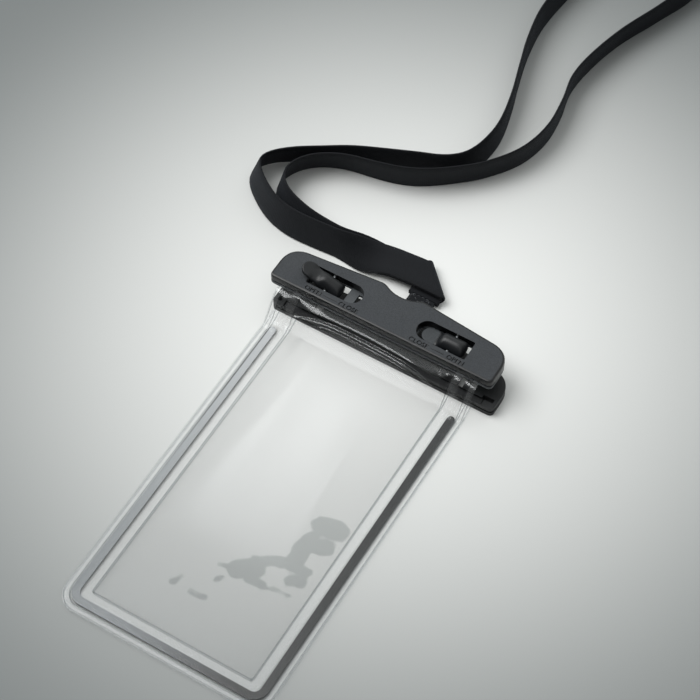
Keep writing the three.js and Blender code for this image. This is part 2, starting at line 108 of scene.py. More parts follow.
def linear(hex_code):
    """An sRGB hex colour as the linear values that a shader takes."""
    channels = [int(hex_code[i:i + 2], 16) / 255 for i in (1, 3, 5)]
    return tuple(c / 12.92 if c <= 0.04045 else ((c + 0.055) / 1.055) ** 2.4 for c in channels) + (1.0,)


def new_material(name):
    """An empty node material."""
    material = bpy.data.materials.new(name)
    material.use_nodes = True
    material.node_tree.nodes.clear()
    return material


def add_node(material, kind, values=None, **settings):
    """Adds a node, with its settings, its input values and its links: a socket as a value is linked."""
    node = material.node_tree.nodes.new(kind)
    for name, value in settings.items():
        setattr(node, name, value)
    for key, value in (values or {}).items():
        if isinstance(value, bpy.types.NodeSocket):
            material.node_tree.links.new(value, node.inputs[key])
        else:
            node.inputs[key].default_value = value
    return node


def mix_colours(material, share, first, second):
    """A colour between two, each a hex code or a socket."""
    values = {0: share}
    for key, colour in ((6, first), (7, second)):
        values[key] = linear(colour) if isinstance(colour, str) else colour
    return add_node(material, "ShaderNodeMix", values, data_type="RGBA").outputs[2]


def dress(piece, body, slot, *materials):
    """Gives a finished piece its materials and the body it moves with. The slot is not used."""
    piece.data.materials.clear()
    for material in materials:
        piece.data.materials.append(material)
    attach(piece, body)


def route_point(x, y, z):
    """A place in the drawing's millimetres as a point in the model's frame."""
    return Vector((x / 1000 + DRAWING_X, y / 1000 + DRAWING_Y, z / 1000))


def even_points(points, step):
    """A smooth curve through the points, walked at an even step."""
    fine = []
    for i in range(len(points) - 1):
        p0 = points[max(i - 1, 0)]
        p1 = points[i]
        p2 = points[i + 1]
        p3 = points[min(i + 2, len(points) - 1)]
        reach = (p2 - p1).length
        ahead = (p2 - p0).normalized() * reach if i else (p2 - p1)
        after = (p3 - p1).normalized() * reach if i + 2 < len(points) else (p2 - p1)
        for k in range(CURVE_STEPS):
            t = k / CURVE_STEPS
            fine.append(
                (2 * t**3 - 3 * t**2 + 1) * p1
                + (t**3 - 2 * t**2 + t) * ahead
                + (3 * t**2 - 2 * t**3) * p2
                + (t**3 - t**2) * after
            )
    fine.append(points[-1])
    along = [0.0]
    for a, b in zip(fine, fine[1:]):
        along.append(along[-1] + (b - a).length)
    count = round(along[-1] / step)
    walked = []
    k = 0
    for i in range(count + 1):
        target = along[-1] * i / count
        while k < len(fine) - 2 and along[k + 1] < target:
            k += 1
        share = (target - along[k]) / max(along[k + 1] - along[k], 1e-9)
        walked.append(fine[k].lerp(fine[k + 1], share))
    return walked


def smooth(value, low, high):
    """0 below low, 1 above high, with soft ends."""
    t = min(1.0, max(0.0, (value - low) / (high - low)))
    return t * t * (3 - 2 * t)


# The fold and the standing loop are stations: a centre, and the vector from it to the ribbon's edge. A ply
# is the height that a strand leaves the sewn end at, and its height after the fold. The pairs below the
# plies are distances along the ribbon from the fold.
LOWER_PLY = (0.0017, 0.0056)
UPPER_PLY = (0.0030, 0.0043)
STANDS_UP = (0.002, 0.032)
LEVELS_OUT = (0.0, 0.035)
FAR_PART = (0.088, 0.150)
STRAY_DEGREES = 3
STRAY_LENGTH = 0.019
RIBBON_STEP = 0.0025
TABLE_GAP = 0.00015
HALF_STACK = 0.00065
FOLD_X = 3.5
FOLD_Y = 43.0
FOLD_END_X = -5.5
TAIL_END_Y = 33.3
FOLD_ARC_STEPS = 8
RIBBON_HALF = RIBBON_WIDTH / 2
UPWARD = Vector((0, 0, 1))


def fold_stations(first_height, last_height):
    """The ribbon straight off the sewn end, then folded over itself along a 45 degree crease."""
    stations = []
    straight = Vector((-RIBBON_HALF, 0, 0))
    for y in (TAIL_END_Y, TAIL_END_Y + 1.0):
        stations.append((route_point(FOLD_X, y, 1000 * first_height), straight))
    corner = route_point(FOLD_X, FOLD_Y, 0)
    creased = Vector((-RIBBON_HALF, RIBBON_HALF, 0))
    outward = Vector((1, 1, 0)).normalized()
    radius = (last_height - first_height) / 2
    for k in range(FOLD_ARC_STEPS + 1):
        swing = math.pi * k / FOLD_ARC_STEPS
        lift = (first_height + radius * (1 - math.cos(swing))) * UPWARD
        stations.append((corner + lift + radius * math.sin(swing) * outward, creased))
    stations.append((route_point(FOLD_END_X, FOLD_Y, 1000 * last_height), Vector((0, RIBBON_HALF, 0))))
    return stations


def run_stations(points, first_height, side, near_lean, far_lean):
    """The ribbon from its fold to the loop's far end: it turns up on to its edge, and leans inward."""
    stations = []
    travelled = 0.0
    for before, point, after in zip(points, points[1:], points[2:]):
        travelled += (point - before).length
        ahead = (after - before).normalized()
        inside = Vector((ahead.y, -ahead.x, 0))
        stand = smooth(travelled, *STANDS_UP)
        far = smooth(travelled, *FAR_PART)
        stray = STRAY_DEGREES * far * math.sin(travelled / STRAY_LENGTH + side)
        lean = math.radians(90 * (1 - stand) + stand * (near_lean * (1 - far) + far_lean * far + stray))
        own_height = RIBBON_HALF * abs(math.cos(lean)) + RIBBON_THICKNESS / 2 * abs(math.sin(lean))
        own_height += TABLE_GAP + HALF_STACK * (1 + side) * (1 - stand)
        eased = smooth(travelled, *LEVELS_OUT)
        height = first_height + (own_height - first_height) * eased
        across = RIBBON_HALF * (math.cos(lean) * UPWARD + math.sin(lean) * inside)
        stations.append((Vector((point.x, point.y, height)), across))
    return stations


loop_points = even_points([route_point(x, y, 0) for x, y in LOOP_ROUTE], RIBBON_STEP)
half_way = len(loop_points) // 2
out_points = loop_points[:half_way + 2]
back_points = list(reversed(loop_points))[:len(loop_points) - half_way]
out_run = run_stations(out_points, LOWER_PLY[1], side=1, near_lean=20, far_lean=-3)
back_run = run_stations(back_points, UPPER_PLY[1], side=-1, near_lean=15, far_lean=5)
stations = fold_stations(*LOWER_PLY) + out_run
stations += list(reversed(back_run)) + list(reversed(fold_stations(*UPPER_PLY)))
ribbon_centre = [centre for centre, across in stations]
ribbon_across = [across for centre, across in stations]
ribbon_steps = len(stations) - 1
ribbon_travel = [0.0]
for a, b in zip(ribbon_centre, ribbon_centre[1:]):
    ribbon_travel.append(ribbon_travel[-1] + (b - a).length)
ribbon_mesh = bpy.data.meshes.new("lanyard_ribbon")
ribbon = bpy.data.objects.new("lanyard_ribbon", ribbon_mesh)
bpy.context.scene.collection.objects.link(ribbon)
SECTION = [(-1.0, -0.5), (-0.95, -1.0), (-0.5, -1.0), (0.0, -1.0), (0.5, -1.0), (0.95, -1.0), (1.0, -0.5)]
SECTION += [(-a, -b) for a, b in SECTION]
body = bmesh.new()
uv_layer = body.loops.layers.uv.new("ribbon")
rings = []
for i in range(ribbon_steps + 1):
    ahead = ribbon_centre[min(i + 1, ribbon_steps)] - ribbon_centre[max(i - 1, 0)]
    face = ahead.cross(ribbon_across[i]).normalized()
    ring = []
    for a, b in SECTION:
        offset = a * ribbon_across[i] + b * RIBBON_THICKNESS / 2 * face
        ring.append(body.verts.new(ribbon_centre[i] + offset))
    rings.append(ring)
for i in range(ribbon_steps):
    for k in range(len(SECTION)):
        n = (k + 1) % len(SECTION)
        quad = body.faces.new((rings[i][k], rings[i][n], rings[i + 1][n], rings[i + 1][k]))
        quad.smooth = True
        corners = [(i, k), (i, n), (i + 1, n), (i + 1, k)]
        for loop, (step, side) in zip(quad.loops, corners):
            loop[uv_layer].uv = (ribbon_travel[step], SECTION[side][0] * RIBBON_HALF)
body.faces.new(rings[0])
body.faces.new(list(reversed(rings[-1])))
bmesh.ops.recalc_face_normals(body, faces=body.faces)
body.to_mesh(ribbon_mesh)
body.free()
# Woven polyester: fine ribs run across the ribbon, between two plain selvedges; matt, with a faint sheen.
# Ribs and yarns are drawn a little coarser than they are, so that they show.
RIB_PITCH = 0.0009
YARN_PITCH = 0.0006
RIB_RELIEF = 0.45
SELVEDGE = 0.0064
SELVEDGE_BLUR = 0.0002
weave = new_material("woven_polyester")
ribbon_uv = add_node(weave, "ShaderNodeUVMap", uv_map="ribbon").outputs["UV"]
uv_parts = add_node(weave, "ShaderNodeSeparateXYZ", {"Vector": ribbon_uv})
run = uv_parts.outputs["X"]
side = uv_parts.outputs["Y"]


def wave_of(material, distance, pitch):
    """A sine from -1 to 1 that repeats at each pitch, in metres."""
    turns = add_node(material, "ShaderNodeMath", {
        0: distance, 1: 2 * math.pi / pitch,
    }, operation="MULTIPLY").outputs["Value"]
    return add_node(material, "ShaderNodeMath", {0: turns}, operation="SINE").outputs["Value"]


ribs = wave_of(weave, run, RIB_PITCH)
yarns = wave_of(weave, side, YARN_PITCH)
threads = add_node(weave, "ShaderNodeMath", {0: ribs, 1: yarns}, operation="MULTIPLY").outputs["Value"]
relief = add_node(weave, "ShaderNodeMath", {
    0: ribs, 1: RIB_RELIEF, 2: threads,
}, operation="MULTIPLY_ADD").outputs["Value"]
off_middle = add_node(weave, "ShaderNodeMath", {0: side}, operation="ABSOLUTE").outputs["Value"]
edge_share = add_node(weave, "ShaderNodeMapRange", {
    "Value": off_middle, "From Min": SELVEDGE - SELVEDGE_BLUR, "From Max": SELVEDGE + SELVEDGE_BLUR,
}).outputs["Result"]
patchy = add_node(weave, "ShaderNodeTexNoise", {
    "Vector": add_node(weave, "ShaderNodeTexCoord").outputs["Object"], "Scale": 45.0, "Detail": 3.0,
}).outputs["Fac"]
yarn_colour = mix_colours(weave, patchy, "#0b0e12", "#15181d")
# Painted shade: the low parts of the rib relief are painted darker, standing in for the shade in the hollows
# between the ribs.
raised = add_node(weave, "ShaderNodeMapRange", {
    "Value": relief, "From Min": -1.4, "From Max": 1.4,
}).outputs["Result"]
thread_colour_and_hollow_shade = mix_colours(weave, raised, "#0a0c10", yarn_colour)
ribbon_colour = mix_colours(weave, edge_share, thread_colour_and_hollow_shade, "#0d0f13")
relief_bump = add_node(weave, "ShaderNodeBump", {"Strength": 0.5, "Distance": 0.00012, "Height": relief})
cloth = add_node(weave, "ShaderNodeBsdfPrincipled", {
    "Base Color": ribbon_colour,
    "Roughness": 0.82,
    "Specular IOR Level": 0.3,
    "Sheen Weight": 0.15,
    "Sheen Roughness": 0.45,
    "Sheen Tint": linear("#8d96a3"),
    "Normal": relief_bump.outputs["Normal"],
})
add_node(weave, "ShaderNodeOutputMaterial", {"Surface": cloth.outputs["BSDF"]})
ribbon_mesh.materials.append(weave)
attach(ribbon, "rear_half")
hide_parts("lanyard_strand_lower", "lanyard_strand_upper", "lanyard_loop")

# Table and light: a matt pale table whose colour is painted darker away from the object, a painted pool of
# light that falls off, one large soft light from the left as in the photograph, a weak one from the right,
# and a sky that is dark towards the front.
TABLE_PALE = "#ebecea"
TABLE_FAR_PAINTED_SHADE = "#777b7b"
TABLE_SHIFT = (0.005, -0.092, 0.0)
TABLE_SCALE = 0.965
PALE_RADIUS = 0.005
FAR_RADIUS = 0.262
TABLE_SIZE = 6
LIGHT_AIM = Vector((0.0, 0.05, 0.0))
SKY_BRIGHT_SIDE = (-0.34, 0.56, 0.75)
table = new_material("table_top_with_painted_light_falloff")
place = add_node(table, "ShaderNodeTexCoord").outputs["Object"]
centred = add_node(table, "ShaderNodeMapping", {
    "Vector": place,
    "Location": TABLE_SHIFT,
    "Scale": (TABLE_SCALE, TABLE_SCALE, TABLE_SCALE),
}).outputs["Vector"]
from_middle = add_node(table, "ShaderNodeVectorMath", {0: centred}, operation="LENGTH").outputs["Value"]
# Painted light: the table's colour fades from pale at the middle to grey far out, a painted pool of light
# that falls off away from the object.
painted_falloff_share = add_node(table, "ShaderNodeMapRange", {
    "Value": from_middle, "From Min": PALE_RADIUS, "From Max": FAR_RADIUS,
}, interpolation_type="SMOOTHSTEP").outputs["Result"]
table_colour_with_painted_falloff = mix_colours(table, painted_falloff_share, TABLE_PALE, TABLE_FAR_PAINTED_SHADE)
paint = add_node(table, "ShaderNodeBsdfPrincipled", {
    "Base Color": table_colour_with_painted_falloff, "Roughness": 0.75, "Specular IOR Level": 0.25,
})
add_node(table, "ShaderNodeOutputMaterial", {"Surface": paint.outputs["BSDF"]})
bpy.ops.object.select_all(action="DESELECT")
bpy.ops.mesh.primitive_plane_add(size=TABLE_SIZE, location=(0, 0, 0))
floor = bpy.context.object
floor.name = "table_top"
floor.data.materials.append(table)


def add_soft_light(name, place, size, power):
    """A square soft light that looks at the clamp."""
    data = bpy.data.lights.new(name, "AREA")
    data.energy = power
    data.size = size
    lamp = bpy.data.objects.new(name, data)
    bpy.context.scene.collection.objects.link(lamp)
    lamp.location = place
    lamp.rotation_euler = (LIGHT_AIM - lamp.location).to_track_quat("-Z", "Y").to_euler()


add_soft_light("window_light", place=(-1.30, -0.15, 2.05), size=1.7, power=43)
add_soft_light("fill_light", place=(0.9, -0.5, 1.3), size=1.2, power=3)
world = bpy.data.worlds.new("studio")
bpy.context.scene.world = world
world.use_nodes = True
world.node_tree.nodes.clear()
sky_direction = add_node(world, "ShaderNodeTexCoord").outputs["Generated"]
towards_window = add_node(world, "ShaderNodeVectorMath", {
    0: sky_direction, 1: SKY_BRIGHT_SIDE,
}, operation="DOT_PRODUCT").outputs["Value"]
window_side = add_node(world, "ShaderNodeMapRange", {
    "Value": towards_window, "From Min": 0.05, "From Max": 0.85,
}, interpolation_type="SMOOTHSTEP").outputs["Result"]
sky_colour = mix_colours(world, window_side, "#1a1c1e", "#f4f7f6")
sky = add_node(world, "ShaderNodeBackground", {"Color": sky_colour, "Strength": 0.95})
add_node(world, "ShaderNodeOutputWorld", {"Surface": sky.outputs["Background"]})

# Front cover: the dark plate of the clamp, moulded ABS with a fine spark-eroded grain, drawn coarse enough
# to show. Its edges are rounded by the tool, and the words for the lock positions are cut into its top
# beside each slot.
GRAIN = 0.00045
EDGE_ROUNDING = 0.00022
MERGE_DISTANCE = 0.000002
CAPITAL_SHARE = 0.72
LETTER_SPACING = 1.02
LETTER_HEIGHT = 0.0023
LETTER_DEPTH = 0.0005
LETTER_GROWTH = 0.00008
LETTER_LINE_Y = DRAWING_Y + 0.00135
LINE_WIDTH = 0.00035
LETTERING = [("OPEN", -0.0346), ("CLOSE", -0.0168), ("CLOSE", 0.0187), ("OPEN", 0.0369)]
LINES = [(-0.0294, -0.0226), (0.0248, 0.0310)]


def select_only(piece):
    """Makes one piece the selected and the active one."""
    bpy.ops.object.select_all(action="DESELECT")
    piece.select_set(True)
    bpy.context.view_layer.objects.active = piece


def apply_all(piece):
    """Applies a piece's modifiers, from the top."""
    select_only(piece)
    for modifier in list(piece.modifiers):
        bpy.ops.object.modifier_apply(modifier=modifier.name)


def welded_copy(node, name):
    """The CAD node's own shape with its loose triangles joined, as a new piece."""
    piece = bpy.data.objects.new(name, nodes[node].data.copy())
    bpy.context.scene.collection.objects.link(piece)
    select_only(piece)
    piece.data.materials.clear()
    bpy.ops.mesh.customdata_custom_splitnormals_clear()
    bpy.ops.object.mode_set(mode="EDIT")
    bpy.ops.mesh.select_all(action="SELECT")
    bpy.ops.mesh.remove_doubles(threshold=MERGE_DISTANCE)
    bpy.ops.mesh.dissolve_limited(angle_limit=math.radians(0.5))
    bpy.ops.object.mode_set(mode="OBJECT")
    return piece


def round_edges(piece, width, segments=2, sharp=25):
    """Rounds the edges that are sharper than the angle."""
    rounding = piece.modifiers.new("rounding", "BEVEL")
    rounding.width = width
    rounding.segments = segments
    rounding.limit_method = "ANGLE"
    rounding.angle_limit = math.radians(sharp)
    rounding.use_clamp_overlap = True
    apply_all(piece)
    flatten_shading(piece)


def flatten_shading(piece):
    """Smooth shading that leaves the large faces flat, as weighted normals do."""
    select_only(piece)
    bpy.ops.object.shade_smooth_by_angle(angle=math.radians(40))
    weighting = piece.modifiers.new("weighting", "WEIGHTED_NORMAL")
    weighting.mode = "FACE_AREA"
    weighting.weight = 80
    weighting.keep_sharp = True
    apply_all(piece)


def moulded_plastic(name, colour, light_colour, roughness, grain_depth):
    """ABS or nylon with a fine eroded grain, a little uneven in colour and gloss from handling."""
    material = new_material(name)
    place = add_node(material, "ShaderNodeTexCoord").outputs["Object"]
    grain = add_node(material, "ShaderNodeTexNoise", {
        "Vector": place, "Scale": 1 / GRAIN, "Detail": 2.0, "Roughness": 0.6,
    }).outputs["Fac"]
    cloud = add_node(material, "ShaderNodeTexNoise", {
        "Vector": place, "Scale": 60.0, "Detail": 4.0,
    }).outputs["Fac"]
    speck = add_node(material, "ShaderNodeMapRange", {
        "Value": grain, "From Min": 0.35, "From Max": 0.7,
    }).outputs["Result"]
    grained = mix_colours(material, speck, colour, light_colour)
    dulled = add_node(material, "ShaderNodeMapRange", {
        "Value": cloud,
        "From Min": 0.3,
        "From Max": 0.7,
        "To Min": roughness - 0.05,
        "To Max": roughness + 0.06,
    }).outputs["Result"]
    bump = add_node(material, "ShaderNodeBump", {
        "Strength": 0.35, "Distance": grain_depth, "Height": grain,
    })
    plastic = add_node(material, "ShaderNodeBsdfPrincipled", {
        "Base Color": grained,
        "Roughness": dulled,
        "IOR": 1.53,
        "Specular IOR Level": 0.4,
        "Normal": bump.outputs["Normal"],
    })
    add_node(material, "ShaderNodeOutputMaterial", {"Surface": plastic.outputs["BSDF"]})
    return material


def cut_letters(words, x):
    """The words as a solid block that stands across the plate's top face, to be cut out of it."""
    bpy.ops.object.select_all(action="DESELECT")
    bpy.ops.object.text_add(location=(0, 0, 0))
    block = bpy.context.object
    block.data.body = words
    block.data.size = LETTER_HEIGHT / CAPITAL_SHARE
    block.data.space_character = LETTER_SPACING
    block.data.offset = LETTER_GROWTH
    block.data.resolution_u = 3
    block.data.extrude = LETTER_DEPTH
    block.data.align_x = "CENTER"
    bpy.ops.object.convert(target="MESH")
    block.location = (DRAWING_X + x, LETTER_LINE_Y, cover_top)
    bpy.ops.object.transform_apply(location=True, rotation=False, scale=False)
    bpy.ops.object.mode_set(mode="EDIT")
    bpy.ops.mesh.select_all(action="SELECT")
    bpy.ops.mesh.remove_doubles(threshold=MERGE_DISTANCE)
    bpy.ops.object.mode_set(mode="OBJECT")
    return block


def cut_line(x_from, x_to):
    """The short straight line between two words, as a block to be cut out too."""
    bpy.ops.object.select_all(action="DESELECT")
    bpy.ops.mesh.primitive_cube_add(size=1, location=(
        DRAWING_X + (x_from + x_to) / 2, LETTER_LINE_Y + LETTER_HEIGHT / 2, cover_top))
    block = bpy.context.object
    block.scale = (x_to - x_from, LINE_WIDTH, 2 * LETTER_DEPTH)
    bpy.ops.object.transform_apply(location=True, rotation=False, scale=True)
    return block


cover_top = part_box("front_cover")[1].z
cover = welded_copy("front_cover", "front_cover_plate")
round_edges(cover, EDGE_ROUNDING)
cutters = [cut_letters(words, x) for words, x in LETTERING]
cutters += [cut_line(x_from, x_to) for x_from, x_to in LINES]
for cutter in cutters:
    carving = cover.modifiers.new("carving", "BOOLEAN")
    carving.operation = "DIFFERENCE"
    carving.solver = "EXACT"
    carving.object = cutter
    apply_all(cover)
    bpy.data.objects.remove(cutter)
flatten_shading(cover)
cover_plastic = moulded_plastic("grained_abs_dark_grey", "#25282c", "#383c40", 0.62, 0.00007)
# Painted shade: every face but the plate's top (the rounded edges, the walls and the floors of the cut
# letters) takes a near-black copy of the plastic. It stands in for the shade on the chamfers and in the
# letters.
edge_painted_shade_plastic = moulded_plastic("abs_black_painted_edge_shade", "#090b0d", "#111315", 0.3, 0.00001)
dress(cover, "front_half", "cover", cover_plastic, edge_painted_shade_plastic)
for polygon in cover.data.polygons:
    on_top = polygon.normal.z > 0.9 and polygon.center.z > cover_top - 0.0001
    polygon.material_index = 0 if on_top else 1
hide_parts("front_cover")

# Front inner frame: the paler ABS rim that shows all round under the cover, moulded in one with the cross
# bars in the slots and pressed up into the cover. It has a satin skin from a smoother mould.
front_rim = welded_copy("front_frame", "front_inner_frame")
round_edges(front_rim, 0.00018)
rim_plastic = moulded_plastic("satin_abs_mid_grey", "#3f4346", "#4d5154", 0.5, 0.00003)
dress(front_rim, "front_half", "frame", rim_plastic)
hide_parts("front_frame")

# Flip locks: one moulded nylon lever on each side, a barrel hub on a steel pin with a flat thumb tab. The
# left one lies open and the right one lies locked. Hub and tab run into each other in soft curves, and the
# hub is crowned. Each reach is a distance from the pin, across the lever.
LEVER_VOXEL = 0.00022
HUB_HALF_WIDTH = 0.0043
DOMED_REACH = (0.0062, 0.0082)
CROWN_REACH = (0.0066, 0.0090)
CROWN = 0.34
CROWN_INWARD = 0.35
TAB_REACH = 0.0072
tab_painted_light_plastic = moulded_plastic("grained_nylon_painted_lit_grey", "#2b2f32", "#3b3f42", 0.6, 0.00004)
lever_nylon = moulded_plastic("satin_nylon_black", "#121416", "#1a1c1f", 0.4, 0.00003)
for side_name in ("left", "right"):
    lever = welded_copy(f"lock_lever_{side_name}", f"flip_lever_{side_name}")
    moulding = lever.modifiers.new("moulding", "REMESH")
    moulding.mode = "VOXEL"
    moulding.voxel_size = LEVER_VOXEL
    softening = lever.modifiers.new("softening", "SMOOTH")
    softening.factor = 0.6
    softening.iterations = 10
    apply_all(lever)
    hub = lever.vertex_groups.new(name="hub")
    pin_low, pin_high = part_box(f"lever_pin_{side_name}")
    pin_x = (pin_low.x + pin_high.x) / 2
    pin_y = (pin_low.y + pin_high.y) / 2
    pin_z = (pin_low.z + pin_high.z) / 2
    for vertex in lever.data.vertices:
        away = abs(vertex.co.x - pin_x)
        hub.add([vertex.index], 1 - smooth(away, *DOMED_REACH), "REPLACE")
    doming = lever.modifiers.new("doming", "SMOOTH")
    doming.factor = 0.9
    doming.iterations = 90
    doming.vertex_group = "hub"
    apply_all(lever)
    for vertex in lever.data.vertices:
        share = 1 - smooth(abs(vertex.co.x - pin_x), *CROWN_REACH)
        crown = 1 - CROWN * share * ((vertex.co.y - pin_y) / HUB_HALF_WIDTH) ** 2
        vertex.co.x = pin_x + (vertex.co.x - pin_x) * (1 - (1 - crown) * CROWN_INWARD)
        vertex.co.z = pin_z + (vertex.co.z - pin_z) * crown
    select_only(lever)
    bpy.ops.object.shade_smooth()
    dress(lever, f"{side_name}_lock", "lever", lever_nylon, tab_painted_light_plastic)
    # Painted light: the tab's outer face, the one that lies up when the lever is locked, takes a paler grey
    # copy of the nylon. It stands in for the light that this face catches.
    outward = -1 if side_name == "left" else 1
    for polygon in lever.data.polygons:
        on_tab = abs(polygon.center.x - pin_x) > TAB_REACH
        polygon.material_index = 1 if on_tab and outward * polygon.normal.z > 0.5 else 0
    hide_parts(f"lock_lever_{side_name}")

# Lever pins: drawn stainless steel, cut to length and pressed into the cover. The fine marks of the drawing
# run along them and streak their highlights.
drawn_steel = new_material("drawn_stainless_steel")
place = add_node(drawn_steel, "ShaderNodeTexCoord").outputs["Object"]
stretched = add_node(drawn_steel, "ShaderNodeMapping", {
    "Vector": place, "Scale": (1.0, 0.08, 1.0),
}).outputs["Vector"]
draw_marks = add_node(drawn_steel, "ShaderNodeTexNoise", {
    "Vector": stretched, "Scale": 5000.0, "Detail": 2.0,
}).outputs["Fac"]
steel_gloss = add_node(drawn_steel, "ShaderNodeMapRange", {
    "Value": draw_marks, "To Min": 0.22, "To Max": 0.38,
}).outputs["Result"]
steel = add_node(drawn_steel, "ShaderNodeBsdfPrincipled", {
    "Base Color": mix_colours(drawn_steel, draw_marks, "#9fa3a6", "#c3c7ca"),
    "Metallic": 1.0,
    "Roughness": steel_gloss,
})
add_node(drawn_steel, "ShaderNodeOutputMaterial", {"Surface": steel.outputs["BSDF"]})
for side_name in ("left", "right"):
    pin = welded_copy(f"lever_pin_{side_name}", f"steel_pin_{side_name}")
    round_edges(pin, 0.00015)
    dress(pin, "front_half", "pin", drawn_steel)
    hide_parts(f"lever_pin_{side_name}")

# Rear half of the clamp: the same grained ABS, an outer cover on the table and an inner frame that grips
# the rear film. The frame carries the lug for the lanyard, and both have a cord eye at each end.
rear_plastic = moulded_plastic("grained_abs_rear", "#0d0f10", "#15181a", 0.5, 0.00005)
rear_cover = welded_copy("rear_cover", "rear_cover_plate")
round_edges(rear_cover, 0.0003)
dress(rear_cover, "rear_half", "cover", rear_plastic)
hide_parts("rear_cover")
rear_rim = welded_copy("rear_frame", "rear_inner_frame")
round_edges(rear_rim, 0.0002)
dress(rear_rim, "rear_half", "frame", rear_plastic)
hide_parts("rear_frame")

# Seals: a moulded bar of black silicone in each half, held in a groove. The two meet over the films when the
# clamp is shut. Silicone is matt, with a faint bloom.
silicone = new_material("silicone_rubber_black")
place = add_node(silicone, "ShaderNodeTexCoord").outputs["Object"]
bloom = add_node(silicone, "ShaderNodeTexNoise", {
    "Vector": place, "Scale": 220.0, "Detail": 4.0,
}).outputs["Fac"]
rubber = add_node(silicone, "ShaderNodeBsdfPrincipled", {
    "Base Color": mix_colours(silicone, bloom, "#0b0c0e", "#17191b"),
    "Roughness": 0.62,
    "IOR": 1.41,
    "Normal": add_node(silicone, "ShaderNodeBump", {
        "Strength": 0.2, "Distance": 0.00005, "Height": bloom,
    }).outputs["Normal"],
})
add_node(silicone, "ShaderNodeOutputMaterial", {"Surface": rubber.outputs["BSDF"]})
for half_name, body_name in (("front", "front_half"), ("rear", "rear_half")):
    seal = welded_copy(f"{half_name}_gasket", f"{half_name}_seal")
    round_edges(seal, 0.0003, segments=3)
    dress(seal, body_name, "seal", silicone)
    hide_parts(f"{half_name}_gasket")

# Films: two sheets of clear soft PVC, 0.4 mm thick, welded together round the sides and the bottom. The
# rear one clings to the table in patches. The front one rises to the open clamp, with two lips under the
# cover's edge and creases at their ends. Places are in the drawing's millimetres.
FILM_THICKNESS = 0.0004
FILM_HALF = 50.5
FILM_BOTTOM = -175.3
FILM_CORNER = 10.0
REAR_FILM_Z = 0.2
REAR_GRIP_Z = 2.5
REAR_FILM_TOP = -0.9
FRONT_FILM_Z = 1.8
FRONT_GRIP_Z = 14.1
FRONT_FILM_TOP = 3.4
REAR_RISE = (-12.4, -5.3)
CHAMBER_RISE = (-125.0, -2.0)
SIDE_RISE = (-16.0, -2.0)
SIDE_BLEND = (18.0, 41.8)
CREASE_END_Y = -1.5
WAVE_HEIGHT = 0.45
WAVE_LENGTH_X = 19.0
WAVE_LENGTH_Y = 42.0
CRUMPLE_X = 41.0
CRUMPLE_Y = -9.0
CRUMPLE_HALF_X = 9.0
CRUMPLE_HALF_Y = 9.5
LIPS = [(-5.8, 1.2), (-8.8, 1.1)]
LIP_HALF_WIDTH = 1.1
LIP_BOW = 3.5
LIP_MIDDLE_X = -8.0
LIP_REACH = 44.0
LIP_FADE = (37.0, 43.0)
NEAR_LENGTH = 18.0
NEAR_ROWS = 0.45
WELD_HAZE = 0.05
WELD_LINES = [(0.0004, 0.0007), (0.0029, 0.0032), (0.0115, 0.0119)]
CHAMBER_EDGE = 0.0118
FACE_ON_GLOSS = 0.013
LIP_GLOSS = 0.03
CLING_PATCHES = [
    (-1.5, -125.5, 5.5, -123.5, 1.4),
    (5.5, -123.5, 13.0, -119.0, 4.2),
    (10.5, -116.0, 21.0, -110.5, 2.6),
    (12.5, -124.5, 19.5, -124.5, 2.2),
    (18.5, -124.5, 30.5, -123.5, 1.5),
    (24.0, -111.0, 31.0, -110.0, 2.4),
    (28.0, -116.5, 31.5, -115.5, 3.2),
    (24.0, -107.5, 24.5, -96.5, 4.4),
    (26.5, -98.0, 31.5, -96.5, 4.0),
    (25.0, -88.0, 32.5, -87.0, 5.0),
    (-13.5, -142.0, -12.0, -138.5, 1.4),
    (1.0, -131.5, 2.5, -129.5, 1.1),
    (-5.5, -142.0, 1.5, -141.5, 1.5),
]
CLING_HOLE = (21.0, -118.5, 4.0, 2.2)


def blend_number(share, first, second):
    """A number between two."""
    return first + (second - first) * share


def rear_film_height(x, y):
    """Height of the rear film's lower face, in drawing millimetres."""
    return blend_number(smooth(y, *REAR_RISE), REAR_FILM_Z, REAR_GRIP_Z)


def crease(x, y):
    """Soft folds of the front film: broad waves in the chamber and sharp ones beside the clamp's ends."""
    open_part = smooth(y, -118.0, -60.0) * (1 - smooth(abs(x), 30.0, 42.0)) * (1 - smooth(y, -9.0, -3.0))
    lift = open_part * WAVE_HEIGHT * noise.noise(Vector((x / WAVE_LENGTH_X, y / WAVE_LENGTH_Y, 3.0)))
    for side in (-1, 1):
        reach = math.hypot((x - side * CRUMPLE_X) / CRUMPLE_HALF_X, (y - CRUMPLE_Y) / CRUMPLE_HALF_Y)
        if reach < 1.0:
            strength = (1 - reach * reach) * (1 - smooth(y, -3.4, -1.6))
            slant = x * side - 0.6 * y
            fold = noise.noise(Vector((x / 4.6 + 7.0 * side, (y + 0.5 * x) / 6.0, 21.0)))
            crumple = noise.noise(Vector((x / 3.4, y / 3.8, 5.0 + side)))
            lift += strength * (1.3 * fold - 1.2 * crumple + 0.15 * math.sin(1.2 * slant) - 0.3)
    return lift


